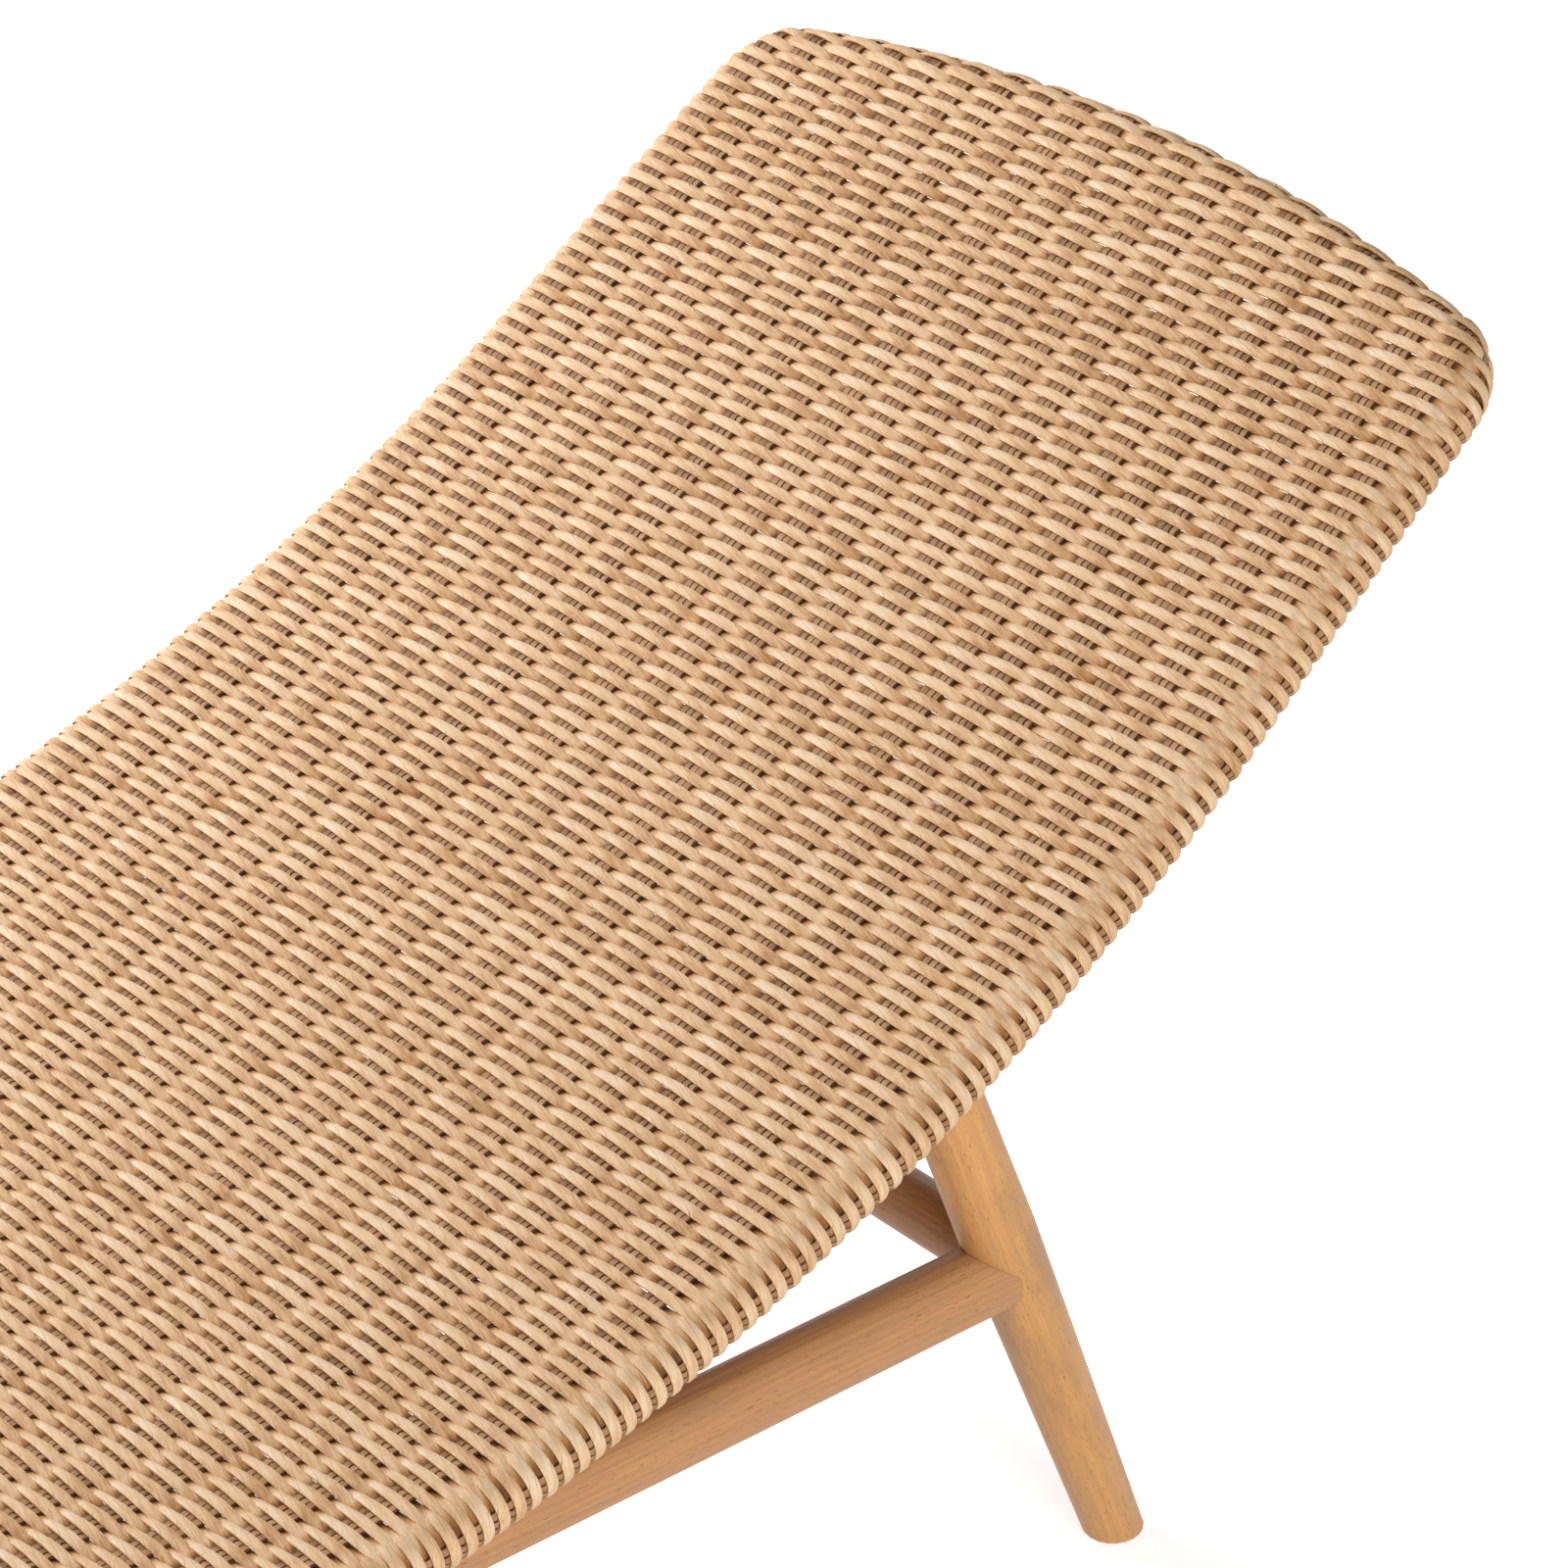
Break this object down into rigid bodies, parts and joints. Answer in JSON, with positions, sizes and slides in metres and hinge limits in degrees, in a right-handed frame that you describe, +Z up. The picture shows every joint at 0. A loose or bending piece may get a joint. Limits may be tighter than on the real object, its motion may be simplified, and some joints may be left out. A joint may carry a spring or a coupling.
{
  "type": "chaise longue",
  "caption": "Low outdoor chaise longue: a one-piece woven lounging panel in a wave shape on a turned wooden leg base with side rails and cross stretchers.",
  "frame": {"origin": "on the floor, under the middle of the bounding box", "axes": "+X towards the head end, +Y to the left of someone lying on it, +Z up"},
  "size_m": [2.0067, 0.723, 0.7379],
  "materials": {
    "woven_strand": "folded and twisted synthetic wicker strand, straw coloured, satin",
    "oiled_wood": "turned hardwood, oiled, honey brown",
    "beech": "plain dowel, unfinished",
    "coated_metal": "tan powder coat on tube",
    "stainless": "plain fasteners",
    "nylon": "moulded, dark brown"
  },
  "bodies": {
    "root": {"woven_panel": "woven_strand", "side_tube_left": "coated_metal", "side_tube_right": "coated_metal", "head_tube": "coated_metal", "foot_tube": "coated_metal", "cross_tube_back": "coated_metal", "cross_tube_head_legs": "coated_metal", "cross_tube_lumbar": "coated_metal", "cross_tube_seat": "coated_metal", "cross_tube_thigh": "coated_metal", "cross_tube_foot_legs": "coated_metal", "leg_head_left": "oiled_wood", "leg_bracket_head_left": "coated_metal", "leg_bracket_head_left_screw_1": "stainless", "leg_bracket_head_left_screw_2": "stainless", "dowel_rail_head_left": "beech", "dowel_stretcher_head_left": "beech", "foot_glide_head_left": "nylon", "leg_head_right": "oiled_wood", "leg_bracket_head_right": "coated_metal", "leg_bracket_head_right_screw_1": "stainless", "leg_bracket_head_right_screw_2": "stainless", "dowel_rail_head_right": "beech", "dowel_stretcher_head_right": "beech", "foot_glide_head_right": "nylon", "leg_foot_left": "oiled_wood", "leg_bracket_foot_left": "coated_metal", "leg_bracket_foot_left_screw_1": "stainless", "leg_bracket_foot_left_screw_2": "stainless", "dowel_rail_foot_left": "beech", "dowel_stretcher_foot_left": "beech", "foot_glide_foot_left": "nylon", "leg_foot_right": "oiled_wood", "leg_bracket_foot_right": "coated_metal", "leg_bracket_foot_right_screw_1": "stainless", "leg_bracket_foot_right_screw_2": "stainless", "dowel_rail_foot_right": "beech", "dowel_stretcher_foot_right": "beech", "foot_glide_foot_right": "nylon", "side_rail_left": "oiled_wood", "seat_boss_left": "coated_metal", "rail_washer_left": "stainless", "rail_bolt_left": "stainless", "side_rail_right": "oiled_wood", "seat_boss_right": "coated_metal", "rail_washer_right": "stainless", "rail_bolt_right": "stainless", "stretcher_head": "oiled_wood", "stretcher_foot": "oiled_wood"}
  },
  "joints": []
}
